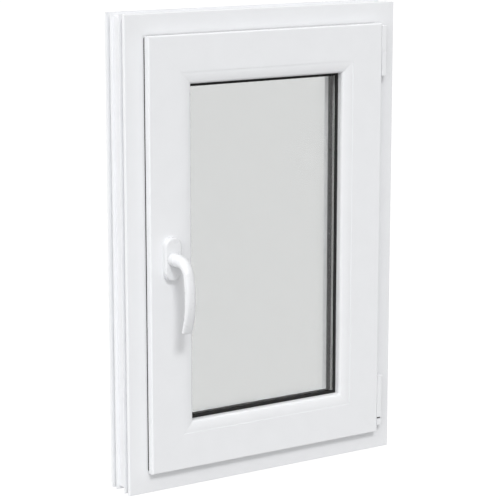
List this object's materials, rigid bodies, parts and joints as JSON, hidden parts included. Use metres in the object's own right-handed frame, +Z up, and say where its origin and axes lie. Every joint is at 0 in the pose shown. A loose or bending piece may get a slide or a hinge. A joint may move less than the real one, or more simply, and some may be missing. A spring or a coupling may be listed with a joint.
{
  "type": "tilt and turn basement window",
  "caption": "Small upright white plastic window: grooved frame, overlapping sash with triple glass behind rounded beads, hinges on the right and a turning lever handle on the left.",
  "frame": {"origin": "middle of the sill's rear flange, on its underside, which stands on the wall", "axes": "+X to the right seen from the room, +Y outdoors, +Z up; the room side faces -Y"},
  "size_m": [0.5, 0.1429, 0.75],
  "materials": {
    "white_plastic": "smooth satin white",
    "black_rubber": "matte black",
    "clear_glass": "clear, slightly grey",
    "dark_spacer": "matte dark grey",
    "handle_white": "smooth white coating",
    "hinge_white": "smooth white coating",
    "steel": "dark plain steel"
  },
  "bodies": {
    "window": {"frame_head": "white_plastic", "frame_sill": "white_plastic", "frame_jamb_left": "white_plastic", "frame_jamb_right": "white_plastic", "frame_gasket": "black_rubber", "sash_top_rail": "white_plastic", "sash_bottom_rail": "white_plastic", "sash_stile_left": "white_plastic", "sash_stile_right": "white_plastic", "sash_gasket": "black_rubber", "bead_top": "white_plastic", "bead_bottom": "white_plastic", "bead_left": "white_plastic", "bead_right": "white_plastic", "glazing_gasket_inner": "black_rubber", "glazing_gasket_outer": "black_rubber", "pane_inner": "clear_glass", "pane_middle": "clear_glass", "pane_outer": "clear_glass", "spacer_inner": "dark_spacer", "spacer_outer": "dark_spacer", "handle_rosette": "handle_white", "top_hinge_bearing": "hinge_white", "top_hinge_knuckle": "hinge_white", "top_hinge_pin": "steel", "bottom_hinge_bearing": "hinge_white", "bottom_hinge_knuckle": "hinge_white", "bottom_hinge_pin": "steel", "drain_hood_left": "white_plastic", "drain_hood_right": "white_plastic"},
    "handle": {"handle_lever": "handle_white"}
  },
  "joints": [
    {"name": "handle_turn", "type": "hinge", "parent": "window", "child": "handle", "pos_m": [-0.1815, -0.072, 0.375], "axis": [0, -1, 0], "range_deg": [0, 180]}
  ]
}
